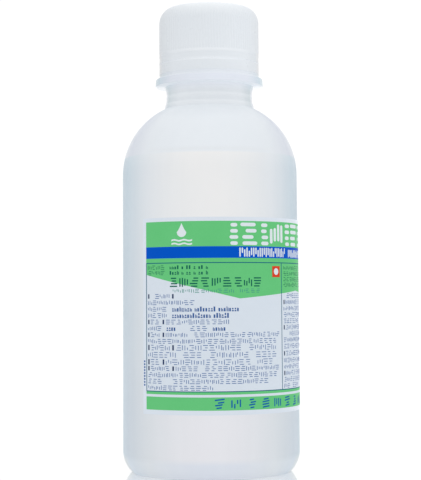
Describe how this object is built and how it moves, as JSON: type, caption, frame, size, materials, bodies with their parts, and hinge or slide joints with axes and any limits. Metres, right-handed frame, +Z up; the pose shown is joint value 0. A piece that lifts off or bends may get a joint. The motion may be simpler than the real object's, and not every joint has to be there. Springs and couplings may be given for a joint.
{
  "type": "solution bottle",
  "caption": "Round translucent plastic bottle for a liquid solution, with a knurled screw cap, tear-off band, neck flange, pouring plug and wrap-around label.",
  "frame": {"origin": "centre of the foot ring, on the plane the bottle stands on", "axes": "+Z up along the bottle's axis, -Y out of the printed front, +X to the right of someone facing the front"},
  "size_m": [0.0442, 0.0444, 0.1156],
  "materials": {
    "bottle_plastic": "satin translucent natural polyethylene",
    "plug_plastic": "satin natural polyethylene",
    "cap_plastic": "satin gloss white",
    "liner_foam": "matte foamed sheet",
    "band_plastic": "satin gloss white",
    "label_film": "printed film, satin gloss",
    "liquid": "clear watery liquid"
  },
  "bodies": {
    "bottle": {"bottle_body": "bottle_plastic", "pour_plug": "plug_plastic", "wrap_label": "label_film", "solution": "liquid"},
    "band": {"tamper_band": "band_plastic"},
    "liner": {"cap_liner": "liner_foam"},
    "cap": {"screw_cap": "cap_plastic"}
  },
  "joints": [
    {"name": "band_spin", "type": "hinge", "parent": "bottle", "child": "band", "pos_m": [0, 0, 0.099], "axis": [0, 0, 1], "continuous": true},
    {"name": "cap_lift", "type": "slide", "parent": "bottle", "child": "liner", "axis": [0, 0, 1], "range_m": [0, 0.0121]},
    {"name": "cap_turn", "type": "hinge", "parent": "liner", "child": "cap", "pos_m": [0, 0, 0.1015], "axis": [0, 0, 1], "range_deg": [0, 1440]}
  ],
  "couplings": [
    {"joint": "cap_lift", "follows": "cap_turn", "m_per_rad": 0.00047746}
  ]
}
